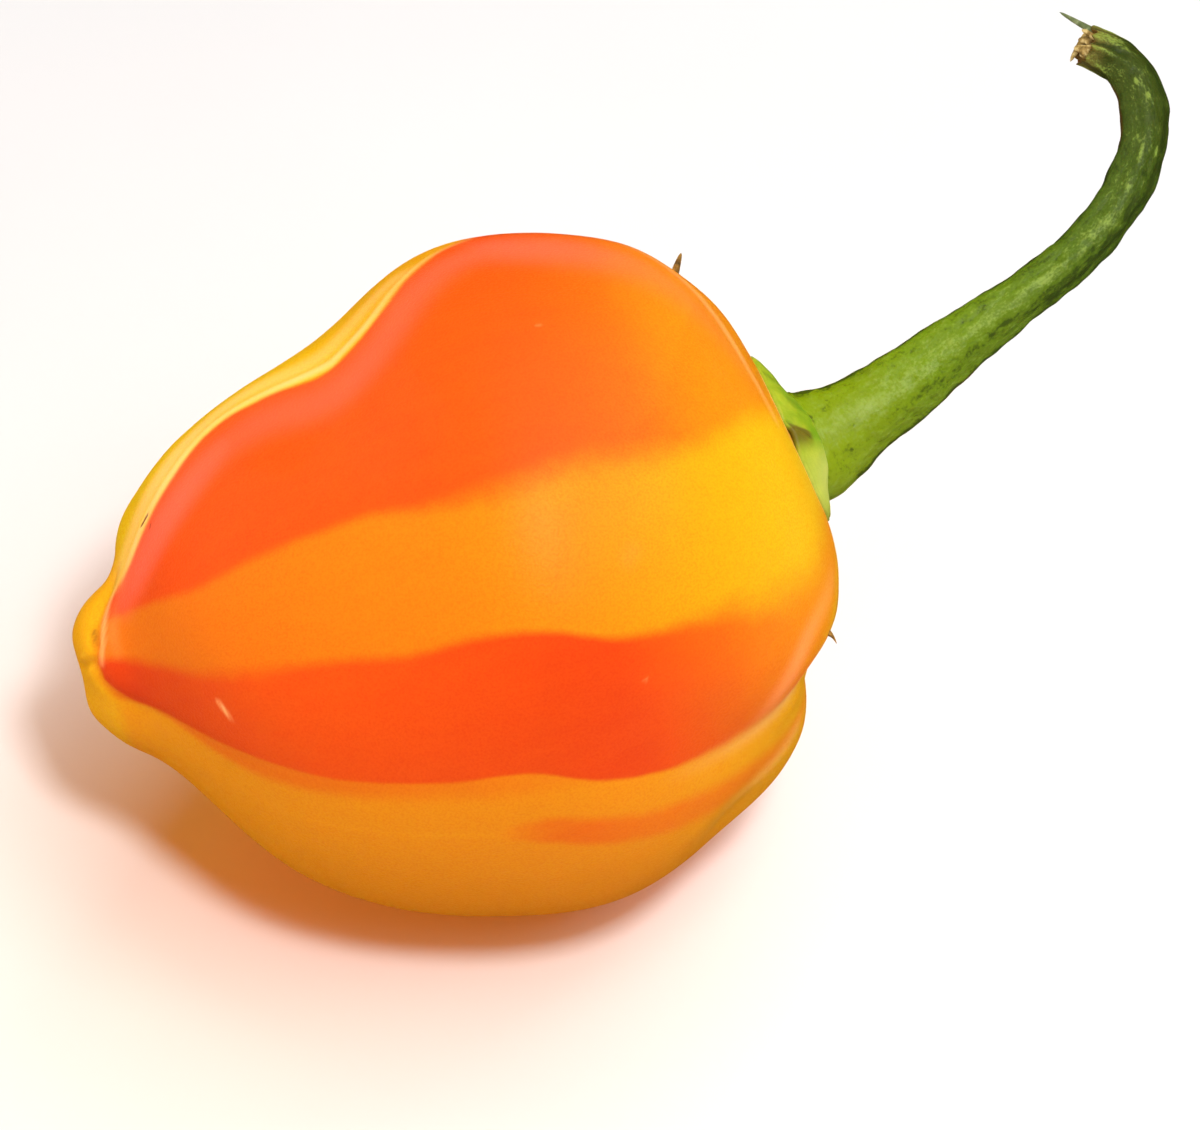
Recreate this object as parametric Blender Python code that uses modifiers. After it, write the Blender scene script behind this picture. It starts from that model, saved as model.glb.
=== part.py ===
"""Chilli pepper of the habanero type, as picked, lying on its belly with its stem in the air.

Each piece is drawn in the fruit's own frame: x runs from the blossom tip to the stem, y to the upper side
and z to the broad front lobe. The whole pepper is then rolled about x onto its belly and set down, so that
+X runs along the fruit towards the stem, +Z is up, and the origin is under the middle of the bounding box."""

import math
from bisect import bisect_right

import bmesh
import bpy
from mathutils import Matrix, Vector
from mathutils.bvhtree import BVHTree

MM = 0.001

# Fruit
FRUIT_LENGTH = 50.0 * MM
FRUIT_OUTLINE = (
    # From the tip to the stem end, in mm: distance from the tip, height of the upper side over the x axis,
    # depth of the lower side under it. The two ends close in a point just over the axis or just under it.
    (0.0, 0.2, -0.2),
    (0.6, 1.6, 5.5),
    (2.3, 3.2, 8.0),
    (3.9, 3.6, 8.8),
    (5.6, 7.3, 11.2),
    (9.1, 10.7, 17.1),
    (15.2, 13.5, 22.0),
    (21.5, 15.4, 24.6),
    (26.4, 18.4, 25.7),
    (31.2, 19.5, 26.0),
    (37.0, 18.6, 23.5),
    (41.5, 17.6, 21.0),
    (45.5, 15.8, 16.4),
    (48.0, 11.9, 12.8),
    (49.3, 7.4, 9.2),
    (50.0, 0.5, -0.5),
)
CAGE_SPARE = 1.01  # smoothing draws the cage in by about this much
FRONT_TO_BACK = 0.98  # depth of a section as a share of its height
SECTION_POINTS = 32
SECTIONS = 24
STEM_END_LEAN = 7  # degrees by which the stem end leans towards the upper side
LEAN_LATITUDES = (90, 150)  # degrees from the tip between which the lean grows to its full amount

# Creases where the lobes meet. Angles are in degrees from the upper side towards the front, and latitudes
# in degrees from the tip.
CREASES = (
    # Angle at the tip, angle at the stem end
    (121, 186),
    (240, 262),
    (338, 346),
)
CREASE_TURN = (95, 168)  # latitudes between which a crease turns from its one angle to the other
CREASE_HALF_WIDTH = 13
CREASE_SHARES = (0.10, 0.012, 0.11)  # depth at the tip, middle and shoulder, as shares of the radius
TIP_CREASE = (65, 20)  # latitudes at which the creases start there and are deepest
SHOULDER_CREASE = (95, 140)
RIDGE_ANGLE = 22  # the edge of the front lobe, along the tip half
RIDGE_HALF_WIDTH = 13
RIDGE_SHARE = 0.025
RIDGE_STARTS = (15, 40)
RIDGE_ENDS = (112, 88)

# Calyx
CALYX_TILT = 3  # degrees from the x axis towards the upper side
CALYX_REACH = 5.45 * MM
CALYX_RIM_OFFSET = 0.8 * MM  # from the collar's middle towards the upper side
CALYX_LOBES = 5
CALYX_LOBE_SHARE = 0.05
CALYX_SIDES = 30
CALYX_RINGS = (
    # From under the middle out to the rim and back: share of the reach, lift above the skin in mm
    (0.45, 0.0),
    (0.92, 0.0),
    (1.0, 0.1),
    (0.98, 0.35),
    (0.86, 0.7),
)
COLLAR_REACH = 4.0 * MM
COLLAR_HEIGHT = 0.95 * MM
COLLAR_RINGS = (
    # From its foot to its top: share of the reach, share of the height
    (1.03, 0.75),
    (1.0, 0.95),
    (0.94, 1.0),
    (0.45, 1.0),
)
GAP = 0.3 * MM

# Stem
STEM_ROUTE = (
    # From the collar to the torn end, in mm: along x, to the upper side, to the front, radius there
    (0.0, 0.0, 0.0, 3.9),
    (0.9, 0.1, 0.0, 3.5),
    (2.7, 0.55, 0.1, 2.95),
    (6.8, 2.15, 0.5, 2.35),
    (11.6, 4.2, 0.9, 1.95),
    (16.5, 6.1, 1.0, 1.65),
    (21.4, 8.4, 0.6, 1.6),
    (25.2, 11.6, -0.2, 1.6),
    (27.2, 15.2, -1.4, 1.6),
    (27.3, 18.9, -2.6, 1.5),
    (25.4, 21.2, -3.4, 1.3),
)
STEM_BEVEL = 4  # gives the tube 12 sides
STEM_STEPS = 5

# Lying down
ROLL = 39  # degrees about x from straight up to the front lobe
PITCH = 8  # degrees by which the tip lies lower than the stem end
BELLY_FLAT = 0.45 * MM  # how far the belly is flattened where it lies
FLOOR_BLOCK_SIDE = 0.2

FINISHES = {
    # Base colour and roughness of each piece
    "fruit": ((1.0, 0.22, 0.02, 1.0), 0.3),
    "calyx": ((0.48, 0.58, 0.05, 1.0), 0.5),
    "stem": ((0.20, 0.36, 0.03, 1.0), 0.5),
}


def curve_through(knots, values):
    """A smooth function through the values at the knots: a cubic between each two, its slope at a knot
    worked out from the knots on both sides."""
    steps = [b - a for a, b in zip(knots, knots[1:])]
    rises = [(b - a) / step for a, b, step in zip(values, values[1:], steps)]
    slopes = [rises[0]]
    for left, right, before, after in zip(steps, steps[1:], rises, rises[1:]):
        slopes.append((right * before + left * after) / (left + right))
    slopes.append(rises[-1])

    def value(at):
        i = min(max(bisect_right(knots, at) - 1, 0), len(steps) - 1)
        t = (at - knots[i]) / steps[i]
        return (
            values[i] * (1 + 2 * t) * (1 - t) ** 2
            + values[i + 1] * (3 - 2 * t) * t**2
            + steps[i] * slopes[i] * t * (1 - t) ** 2
            + steps[i] * slopes[i + 1] * t**2 * (t - 1)
        )

    return value


def eased(value, start, end):
    """0 before start, 1 after end, and smooth between. It falls instead where end is below start."""
    t = min(max((value - start) / (end - start), 0), 1)
    return t * t * (3 - 2 * t)


def outline_curves():
    """The fruit's reach above and below the x axis, as functions of latitude from the tip."""
    latitudes = [math.acos(1 - 2 * row[0] * MM / FRUIT_LENGTH) for row in FRUIT_OUTLINE]
    upper = curve_through(latitudes, [row[1] * MM for row in FRUIT_OUTLINE])
    lower = curve_through(latitudes, [row[2] * MM for row in FRUIT_OUTLINE])
    return upper, lower


def bump(angle, middle, half_width):
    """1 at the middle angle, falling to 0 on both sides. All in degrees."""
    away = (angle - middle + 180) % 360 - 180
    return math.exp(-((away / half_width) ** 2))


def relief(latitude, angle):
    """What the creases take from the radius and the ridge adds to it, as a factor. All in degrees."""
    at_tip, at_middle, at_shoulder = CREASE_SHARES
    depth = at_middle + at_tip * eased(latitude, *TIP_CREASE)
    depth += at_shoulder * eased(latitude, *SHOULDER_CREASE)
    turn = eased(latitude, *CREASE_TURN)
    factor = 1.0
    for start, end in CREASES:
        factor -= depth * bump(angle, start + turn * (end - start), CREASE_HALF_WIDTH)
    ridge = RIDGE_SHARE * eased(latitude, *RIDGE_STARTS) * eased(latitude, *RIDGE_ENDS)
    return factor + ridge * bump(angle, RIDGE_ANGLE, RIDGE_HALF_WIDTH)


def fruit_point(latitude, angle, upper, lower):
    """The skin at a latitude from the tip and an angle from the upper side towards the front."""
    above, below = upper(latitude), lower(latitude)
    radius = CAGE_SPARE * (above + below) / 2 * relief(math.degrees(latitude), math.degrees(angle))
    height = (above - below) / 2 + radius * math.cos(angle)
    lean = eased(math.degrees(latitude), *LEAN_LATITUDES) * math.tan(math.radians(STEM_END_LEAN))
    distance = FRUIT_LENGTH / 2 * (1 - math.cos(latitude)) - lean * height
    return Vector((distance, height, FRONT_TO_BACK * radius * math.sin(angle)))


def make_fruit():
    """A sphere whose rings are moved out to the fruit's sections, then smoothed."""
    upper, lower = outline_curves()
    bm = bmesh.new()
    bmesh.ops.create_uvsphere(bm, u_segments=SECTION_POINTS, v_segments=SECTIONS, radius=1)
    for vertex in bm.verts:
        latitude = math.acos(max(-1, min(1, -vertex.co.z)))
        angle = math.atan2(vertex.co.y, vertex.co.x)
        vertex.co = fruit_point(latitude, angle, upper, lower)
    fruit = object_from(bm, "fruit")
    add_subdivision(fruit)
    return fruit


def calyx_frame():
    """The stem end of the x axis, and the turn that takes x to the calyx's axis."""
    return Vector((FRUIT_LENGTH, 0, 0)), Matrix.Rotation(math.radians(CALYX_TILT), 3, "Z")


def make_calyx(fruit):
    """A sphere laid on the fruit's shoulder: its first rings follow the skin out to the rim, and the rest
    rise to a flat collar under the stem."""
    seat, tilt = calyx_frame()
    axis = tilt @ Vector((1, 0, 0))
    skin = BVHTree.FromObject(fruit, bpy.context.evaluated_depsgraph_get())
    on_skin = ((0, 0), *CALYX_RINGS)
    on_collar = (*COLLAR_RINGS, (0, 1))
    spaces = len(on_skin) + len(on_collar) - 1
    bm = bmesh.new()
    bmesh.ops.create_uvsphere(bm, u_segments=CALYX_SIDES, v_segments=spaces, radius=1)
    for vertex in bm.verts:
        ring = round(math.acos(max(-1, min(1, -vertex.co.z))) / math.pi * spaces)
        angle = math.atan2(vertex.co.y, vertex.co.x)
        side = tilt @ Vector((0, math.cos(angle), math.sin(angle)))
        if ring < len(on_skin):
            share, lift = on_skin[ring]
            lobes = 1 + CALYX_LOBE_SHARE * math.cos(CALYX_LOBES * angle)
            offset = share * (CALYX_REACH * lobes * side + CALYX_RIM_OFFSET * tilt.col[1])
            above = seat + offset + FRUIT_LENGTH * axis
            vertex.co = skin.ray_cast(above, -axis)[0] + (GAP + lift * MM) * axis
        else:
            share, rise = on_collar[ring - len(on_skin)]
            vertex.co = seat + share * COLLAR_REACH * side + rise * COLLAR_HEIGHT * axis
    calyx = object_from(bm, "calyx")
    add_subdivision(calyx)
    return calyx


def make_stem():
    """A tube along the route, from just above the collar to the torn end."""
    seat, tilt = calyx_frame()
    start = seat + tilt @ Vector((COLLAR_HEIGHT + GAP, 0, 0))
    curve = bpy.data.curves.new("stem", "CURVE")
    curve.dimensions = "3D"
    curve.bevel_depth = MM
    curve.bevel_resolution = STEM_BEVEL
    curve.resolution_u = STEM_STEPS
    curve.use_fill_caps = True
    spline = curve.splines.new("BEZIER")
    spline.bezier_points.add(len(STEM_ROUTE) - 1)
    for point, (along, rise, lean, radius) in zip(spline.bezier_points, STEM_ROUTE):
        point.co = start + Vector((along, rise, lean)) * MM
        point.radius = radius
        point.handle_left_type = "AUTO"
        point.handle_right_type = "AUTO"
    return bpy.data.objects.new("stem", curve)


def object_from(bm, name):
    mesh = bpy.data.meshes.new(name)
    bm.to_mesh(mesh)
    bm.free()
    mesh.shade_smooth()
    return bpy.data.objects.new(name, mesh)


def add_subdivision(obj):
    smooth = obj.modifiers.new("Smooth", "SUBSURF")
    smooth.levels = 1
    smooth.render_levels = 1


def finish_of(name):
    """The piece's own material."""
    colour, roughness = FINISHES[name]
    material = bpy.data.materials.new(name)
    material.use_nodes = True
    shader = material.node_tree.nodes["Principled BSDF"]
    shader.inputs["Base Color"].default_value = colour
    shader.inputs["Roughness"].default_value = roughness
    shader.inputs["Metallic"].default_value = 0
    return material


def new_collection(name):
    collection = bpy.data.collections.new(name)
    bpy.context.scene.collection.children.link(collection)
    return collection


def points_of(piece, graph):
    """World positions of the piece's vertices, with its modifiers and bevel."""
    evaluated = piece.evaluated_get(graph)
    mesh = evaluated.to_mesh()
    points = [evaluated.matrix_world @ vertex.co for vertex in mesh.vertices]
    evaluated.to_mesh_clear()
    return points


def lay_down(pepper, pieces):
    """Rolls the pepper onto its belly, with the middle of its box over the origin and the belly's lowest
    point just under z = 0."""
    pepper.rotation_euler = (math.radians(ROLL), math.radians(-PITCH), 0)
    bpy.context.view_layer.update()
    graph = bpy.context.evaluated_depsgraph_get()
    points = [point for piece in pieces for point in points_of(piece, graph)]
    low = Vector(min(point[i] for point in points) for i in range(3))
    high = Vector(max(point[i] for point in points) for i in range(3))
    middle = (low + high) / 2
    pepper.location = (-middle.x, -middle.y, -low.z - BELLY_FLAT)


def flatten_belly(fruit, cutters):
    """Cuts off what would be below z = 0."""
    bm = bmesh.new()
    bmesh.ops.create_cube(bm, size=FLOOR_BLOCK_SIDE)
    block = object_from(bm, "floor_block")
    block.location.z = -FLOOR_BLOCK_SIDE / 2
    block.display_type = "WIRE"
    block.hide_render = True
    cutters.objects.link(block)
    cut = fruit.modifiers.new("Belly flat", "BOOLEAN")
    cut.operation = "DIFFERENCE"
    cut.object = block


def main():
    for obj in list(bpy.data.objects):
        bpy.data.objects.remove(obj)
    collection = new_collection("chilli_pepper")
    cutters = new_collection("cutters")

    pepper = bpy.data.objects.new("chilli_pepper", None)
    fruit = make_fruit()
    collection.objects.link(pepper)
    collection.objects.link(fruit)
    pieces = (fruit, make_calyx(fruit), make_stem())
    for piece in pieces:
        if piece is not fruit:
            collection.objects.link(piece)
        piece.parent = pepper
        piece.data.materials.append(finish_of(piece.name))

    lay_down(pepper, pieces)
    flatten_belly(fruit, cutters)


main()
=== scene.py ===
"""The looks of the chilli pepper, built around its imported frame.

They are a fine skin with the pod's colour bands, the calyx, the ridged stem with its torn end, two dry
spines, and a plain pale studio.
"""

import math
import random

import bmesh
import bpy
import numpy as np
from mathutils import Matrix, Vector, noise
from mathutils.bvhtree import BVHTree


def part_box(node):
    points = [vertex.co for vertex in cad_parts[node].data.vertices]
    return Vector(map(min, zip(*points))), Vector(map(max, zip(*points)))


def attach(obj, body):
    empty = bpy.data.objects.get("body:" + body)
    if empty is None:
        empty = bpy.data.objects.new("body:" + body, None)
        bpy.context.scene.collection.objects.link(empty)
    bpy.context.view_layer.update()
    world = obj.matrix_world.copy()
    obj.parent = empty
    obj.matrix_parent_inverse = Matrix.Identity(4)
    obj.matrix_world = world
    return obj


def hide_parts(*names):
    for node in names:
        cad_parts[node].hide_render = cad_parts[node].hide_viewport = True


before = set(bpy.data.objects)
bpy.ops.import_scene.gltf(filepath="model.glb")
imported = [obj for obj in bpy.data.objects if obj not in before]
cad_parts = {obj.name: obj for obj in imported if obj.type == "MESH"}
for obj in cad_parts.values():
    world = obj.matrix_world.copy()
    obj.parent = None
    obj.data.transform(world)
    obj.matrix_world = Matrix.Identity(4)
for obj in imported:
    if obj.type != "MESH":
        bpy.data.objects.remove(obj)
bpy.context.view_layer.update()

MM = 0.001
ROOT = "root"

# The pod's own frame, as the CAD lays it down: x from the blossom tip to the stem, y to the upper side, z
# to the broad front lobe. Lengths there are in mm, and angles in degrees from y towards z
POD_ROLL = 39
POD_PITCH = 8
POD_TURN = (Matrix.Rotation(math.radians(-POD_PITCH), 3, "Y")
            @ Matrix.Rotation(math.radians(POD_ROLL), 3, "X"))
POD_AXIS = POD_TURN @ Vector((1, 0, 0))
POD_TIP = min((v.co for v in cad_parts["fruit"].data.vertices), key=POD_AXIS.dot) / MM

# Skin mesh
SKIN_CELLS = 120  # along each edge of the cube that is blown up into the pod
SKIN_CENTRE = (25.0, -3.0, 0.0)
TIP_GATHER = (0.5, 0.55)  # share by which cells shrink at the tip, and the half-width of that in radians
FACET_ANGLES = (0.5, 0.7)  # most bend and warp, in radians, at which two CAD triangles become one face
CAD_SUBDIVISIONS = 2
SKIN_SMOOTHINGS = 8
WELD = 0.01  # how near each other CAD vertices are one

# Creases: half-width, then knots of distance from the tip, angle and depth. The first runs round the blossom
# end and on below the front lobe, the second is its wide end, and the third crosses the blossom end
CREASES = (
    (0.55, (4.0, 44, 0.15), (3.0, 56, 0.2), (2.1, 76, 0.25), (1.5, 97, 0.25), (1.2, 111, 0.2),
     (1.5, 126, 0.2), (3.0, 135, 0.15), (5.0, 134, 0.1), (8.0, 131, 0.06), (13.0, 131.5, 0.03)),
    (1.2, (34.0, 142, 0.0), (39.5, 148, 0.1), (42.5, 151, 0.15), (44.8, 152.5, 0.3), (46.8, 156, 0.6),
     (47.9, 166, 0.9), (47.6, 180, 0.9), (46.0, 196, 0.4)),
    (0.3, (0.15, 140, 0.2), (0.3, 125, 0.3), (0.95, 110, 0.3)),
)
LIP_SHARE = 0.1  # height of the swelling beside a crease, as a share of its depth
LIP_PLACE = 2.4  # its distance from the crease, in crease widths
LIP_WIDTH = 1.6  # in crease widths
# The raised edge between the front and the upper lobe: distance from the tip, angle and height
RIDGE = (
    (4.4, 58, 0.1), (5.9, 50.5, 0.15), (9.0, 41, 0.2), (12.7, 33, 0.2), (16.5, 33.5, 0.2),
    (21.5, 38, 0.2), (25.0, 33, 0.15), (28.8, 21, 0.1), (32.4, 14, 0.0),
)
RIDGE_WIDTH = 1.1
# Swellings and hollows: middle (in the pod's frame), half-width, height
SWELLINGS = (
    ((49.9, -6.5, 2.5), 4.5, 0.5),
    ((5.4, 7.0, 0.0), 2.2, 0.4),
    ((3.7, 4.2, 0.5), 1.0, -0.4),
    ((0.4, -4.5, 0.0), 1.7, 0.5),
    ((47.9, -14.5, -5.5), 2.6, -0.7),
    ((48.0, -14.6, -1.5), 2.6, -0.9),
    ((47.5, -14.2, 3.5), 2.6, -0.5),
    ((49.6, -10.8, 3.0), 3.0, -0.2),
    ((39.3, -22.0, 3.0), 3.2, -0.75),
    ((36.5, 19.3, 3.0), 4.0, 0.28),
    ((47.0, 10.0, 2.0), 3.5, 0.35),
)
SKIN_BUMPS = ((9.0, 0.12), (2.2, 0.02))  # size and height of its uneven waves and dimples

# Red bands: distance from the tip, first edge and how soft it is, last edge and how soft it is, redness
UPPER_BAND = (
    (1.5, 62, 0.3, 76, 0.4, 1.0),
    (4.2, 60, 0.3, 80, 0.4, 1.0),
    (5.9, 52, 0.3, 82, 0.4, 1.0),
    (8.9, 42, 0.3, 84, 0.5, 1.0),
    (12.7, 34, 0.3, 82, 0.5, 1.0),
    (16.5, 34.5, 0.3, 81, 0.5, 1.0),
    (21.5, 39, 0.3, 81, 0.6, 0.97),
    (25.0, 34, 0.4, 83, 0.8, 0.97),
    (29.0, 21, 0.8, 84, 1.4, 0.94),
    (35.0, 0, 1.5, 83, 1.8, 0.84),
    (40.0, -12, 2.5, 84, 1.5, 0.52),
    (44.0, -22, 3.0, 83, 1.2, 0.2),
    (48.5, -30, 3.0, 74, 1.5, 0.05),
)
LOWER_BAND = (
    (1.0, 106, 0.4, 118, 0.2, 1.1),
    (3.0, 107, 0.5, 133, 0.2, 1.2),
    (5.0, 108, 0.6, 132.5, 0.2, 1.1),
    (9.0, 108, 0.8, 130, 0.2, 0.98),
    (15.0, 107, 0.6, 131.5, 0.2, 0.98),
    (21.0, 108, 0.5, 132, 0.2, 1.02),
    (27.5, 107, 0.5, 132, 0.2, 1.08),
    (31.0, 109, 0.4, 136, 0.25, 1.12),
    (34.5, 113, 0.5, 140, 0.25, 1.1),
    (38.0, 115, 0.8, 144.5, 0.5, 0.85),
    (42.0, 117, 1.5, 148, 1.0, 0.5),
    (45.0, 121, 2.0, 149, 1.2, 0.3),
    (49.0, 128, 2.0, 150, 1.0, 0.0),
)
FAINT_STREAK = (
    (23.0, 142.6, 0.3, 143.4, 0.3, 0.0),
    (27.0, 141, 0.6, 146, 0.5, 0.42),
    (33.6, 147, 0.7, 153, 0.7, 0.4),
    (38.6, 154, 0.8, 161, 0.8, 0.3),
    (42.0, 160, 0.9, 166, 0.9, 0.25),
    (46.0, 170, 1.0, 175, 1.0, 0.0),
)
UNDER_BAND = (
    (2.0, 196, 0.5, 206, 0.5, 0.9),
    (10.0, 192, 0.5, 224, 0.4, 1.0),
    (25.0, 194, 0.6, 231, 0.5, 1.0),
    (37.0, 198, 1.0, 226, 1.0, 0.7),
    (47.0, 206, 2.0, 216, 2.0, 0.1),
)
BACK_BAND = (
    (2.0, 282, 0.5, 300, 0.5, 0.9),
    (11.0, 272, 0.5, 314, 0.4, 1.0),
    (24.0, 268, 0.6, 318, 0.5, 1.0),
    (37.0, 272, 1.0, 314, 1.0, 0.75),
    (47.0, 282, 2.0, 304, 2.0, 0.1),
)
BANDS = (UPPER_BAND, LOWER_BAND, FAINT_STREAK, UNDER_BAND, BACK_BAND)

# How orange the ground between the bands is: distance from the tip, on the front lobe, below it, elsewhere
GROUND = (
    (0.0, 1.0, 0.5, 0.1), (5.0, 1.05, 0.5, 0.0), (15.0, 0.97, 0.57, 0.0), (24.0, 0.85, 0.6, 0.2),
    (32.0, 0.68, 0.58, 0.35), (38.0, 0.45, 0.45, 0.35), (43.0, 0.27, 0.35, 0.25), (48.0, 0.08, 0.25, 0.15),
)
LOBES = (62, 133, 240)  # angles where the front lobe's ground starts, the lower lobe's starts, and ends
LOBE_BLENDS = (8, 4, 20)  # degrees over which they blend
# The bands keep off the blossom end, whose edge is here: angle, distance from the tip
BLOSSOM_END = (
    (-180, 2.0), (-60, 3.0), (20, 4.6), (44, 4.5), (56, 3.5), (78, 2.4),
    (97, 1.8), (111, 1.5), (126, 1.6), (137, 2.2), (180, 2.0),
)
BLOSSOM_GROUND = 0.3
BLOSSOM_EDGE = 0.15  # how soft that edge is
BLOSSOM_BLEND = (-4, 3)  # where the ground changes there, in edge widths

# Lines and spots on the skin: half-width, then knots of distance from the tip, angle and strength. The brown
# ones are marks on the skin, the pink ones are painted highlights, and the pale ones are mostly painted
# highlights
BROWN_MARKS = (
    (0.4, (1.65, 83, 1.0), (1.5, 94, 1.0)),
    (0.16, (6.7, 45, 1.0), (7.3, 44, 1.0)),
    (0.08, (7.1, 51, 0.7), (7.3, 50, 0.7)),
    (0.07, (9.9, 50, 0.6), (10.1, 49.5, 0.6)),
    (0.12, (39.0, 164, 0.8), (39.1, 164, 0.8)),
)
# Pale lines: mostly painted highlights, and a pale scar near the tip
PALE_MARKS_AND_HIGHLIGHTS = (
    # Painted highlights on the lips round the blossom end, and a pale line across it
    (0.45, (4.4, 55, 0.5), (3.4, 60, 0.6), (2.5, 78, 0.7), (1.9, 97, 0.7), (1.6, 110, 0.5)),
    (1.0, (3.8, 66, 0.2), (3.0, 88, 0.3), (2.9, 103, 0.25)),
    (0.12, (0.3, 124, 0.5), (0.95, 109, 0.7)),
    # A painted highlight along the raised edge, and the paler ground above it, partly its own yellow and
    # partly painted sheen
    (0.6, (4.4, 57, 0.5), (5.9, 49.5, 0.9), (9.0, 40, 1.0), (12.7, 32, 0.9), (16.5, 32.5, 0.9),
     (21.5, 37, 0.9)),
    (0.6, (21.5, 37, 0.9), (25.0, 32, 0.8), (28.8, 20, 0.6), (32.4, 11, 0.4)),
    (1.8, (4.5, 48, 0.5), (9.0, 32, 0.7), (15.0, 24, 0.6), (21.0, 30, 0.5), (27.0, 20, 0.5)),
    # Painted highlights below the crease towards the stem, and above it
    (1.3, (34.0, 142, 0.1), (38.0, 146, 0.3), (42.0, 150, 0.45), (45.0, 152, 0.6), (47.0, 154, 0.7),
     (48.6, 160, 0.6)),
    (1.5, (34.0, 170, 0.0), (40.0, 166, 0.35), (45.0, 172, 0.4)),
    (1.5, (40.0, 150, 0.1), (41.8, 147.5, 0.25), (44.5, 143, 0.4), (46.7, 139, 0.4), (48.0, 139, 0.35),
     (49.6, 143, 0.3)),
    # A painted highlight along the shoulder's upper edge
    (0.9, (40.0, 10, 0.2), (44.0, 17, 0.4), (46.0, 26, 0.5), (47.3, 40, 0.55), (47.9, 54, 0.5),
     (48.6, 75, 0.4)),
    # A scar near the tip, then two specks and a soft patch that are painted highlights
    (0.3, (8.6, 116.0, 0.6), (8.9, 118.5, 0.8), (9.2, 121, 0.35)),
    (0.2, (35.5, 122, 0.6), (35.6, 122, 0.6)),
    (0.25, (34.9, 52, 0.4), (35.1, 52, 0.4)),
    (1.4, (36.5, 101, 0.22), (36.9, 100, 0.22)),
)
# The pink lines are all painted highlights
PINK_HIGHLIGHTS = (
    # Painted highlight below the raised edge, up to the shoulder
    (1.9, (4.4, 69, 0.7), (6.0, 62, 0.9), (9.0, 53, 0.9), (13.0, 44, 0.7)),
    (2.4, (11.0, 46, 0.5), (16.0, 43, 0.6), (21.0, 47, 0.65), (25.0, 42, 0.65), (30.0, 28, 0.65),
     (34.0, 22, 0.7)),
    (3.2, (34.0, 22, 0.8), (38.0, 24, 0.8), (42.0, 30, 0.6), (46.0, 42, 0.4), (47.5, 55, 0.3)),
    (0.8, (40.0, 11, 0.3), (44.0, 19, 0.5), (46.0, 28, 0.5), (47.2, 42, 0.4), (47.8, 56, 0.3)),
    # Painted highlight above the crease towards the stem
    (1.0, (40.0, 145, 0.2), (44.0, 148, 0.5), (46.5, 150, 0.7), (48.5, 155, 0.6)),
    (1.7, (42.0, 147, 0.3), (44.5, 143, 0.5), (46.7, 139, 0.45), (48.0, 139, 0.35), (49.6, 143, 0.3)),
)
MARK_DEPTH = 0.12  # of the brown marks
PEACH_RIM = (1.03, 0.4, 0.8)  # the pale skin round the calyx: share of its rim's reach, half-width, strength

# Calyx: its rim on the skin and its top round the stem, in the pod's frame. Angles go from the upper side to
# the front, then below
CALYX_MIDDLE = (50.0, 0.57, 0.0)
CALYX_REACH = (6.0, 5.4)  # to the upper side and to the front
CALYX_LOBES = 5
CALYX_LOBE_SHARE = 0.04
CALYX_SIDES = 200
CALYX_RISE_RINGS = 22
CALYX_TOP = (50.62, -0.25, 0.7, -0.275)  # distance from the tip: mean, cosine, sine, double cosine
CALYX_TOP_MIDDLE = -0.1
CALYX_TOP_REACH = (4.02, 0.14)  # at the upper side, and how much less for each mm higher
# Rings under the skin and up the rim's edge: share of the rim's reach, lift off the skin, place on the rise
CALYX_RIM_RINGS = ((0.72, -0.3, -0.3), (0.98, -0.2, -0.1), (1.0, 0.02, 0.0), (0.995, 0.196, 0.0))
CALYX_FOOT = (0.97, 0.28)  # where the rise to the top starts: share of the rim's reach, lift off the skin
CALYX_TOP_RINGS = ((0.985, 0.02), (0.93, 0.25))  # rings that turn in at the top: share of its reach, drop
CALYX_BULGE = 0.18
CALYX_FOLD_FADE = 0.3  # share of the rise over which a fold fades out
# Folds of the calyx: angle at the rim, angle at the top, share of the rise where it ends, half-width, depth.
# The depth also sets the painted shade in the fold
CALYX_FOLDS = (
    (78.5, 92, 0.65, 2.2, 0.3),
    (30, 34, 0.9, 8, 0.12),
    (128, 118, 0.9, 7, 0.06),
    (176, 170, 0.9, 8, 0.2),
    (238, 240, 0.9, 7, 0.25),
    (306, 300, 0.9, 7, 0.25),
)
CALYX_BITE = (78, 81, 108)  # the bite out of the rim: where it starts, is highest and ends
CALYX_BITE_HEIGHT = 0.5
CALYX_BITE_SHADE = 0.3  # painted shade under the lifted rim at the bite, as dark as a fold of this depth
CALYX_BUMPS = (1.1, 0.06)  # size and height
CALYX_PALER = (130, 42)  # where it is paler: middle and half-width

# Stem
STEM_START = (50.0, 0.0, 0.0)
STEM_TILT = 3  # to the upper side
STEM_LIFT = 1.25  # from the start to the middle of the calyx's top
# From there: along the pod, to the upper side, to the front, radius
STEM_ROUTE = (
    (-0.9, -0.1, 0.0, 3.9),
    (0.0, -0.02, 0.0, 3.85),
    (0.9, 0.2, 0.0, 3.58),
    (2.7, 0.72, 0.1, 3.02),
    (6.8, 2.25, 0.5, 2.45),
    (11.6, 4.25, 0.9, 2.0),
    (16.5, 6.1, 1.0, 1.65),
    (21.4, 8.4, 0.6, 1.6),
    (25.2, 11.6, -0.2, 1.6),
    (27.3, 15.3, -1.4, 1.6),
    (27.1, 19.0, -2.6, 1.5),
    (24.8, 21.3, -3.5, 1.28),
)
ROUTE_SAMPLES = 4000
STEM_RINGS = 420
STEM_SIDES = 120
STEM_RIBS = ((5, 0.035, 20), (8, 0.012, 0))  # how many, how high as a share of the radius, first angle
STEM_RIB_TWIST = 0.03  # radians for each mm
STEM_RIB_START = (1.5, 9)  # distances between which the ribs rise to their full height
STEM_KNOBS = ((2.4, 0.16), (1.0, 0.08))  # size and height
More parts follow.
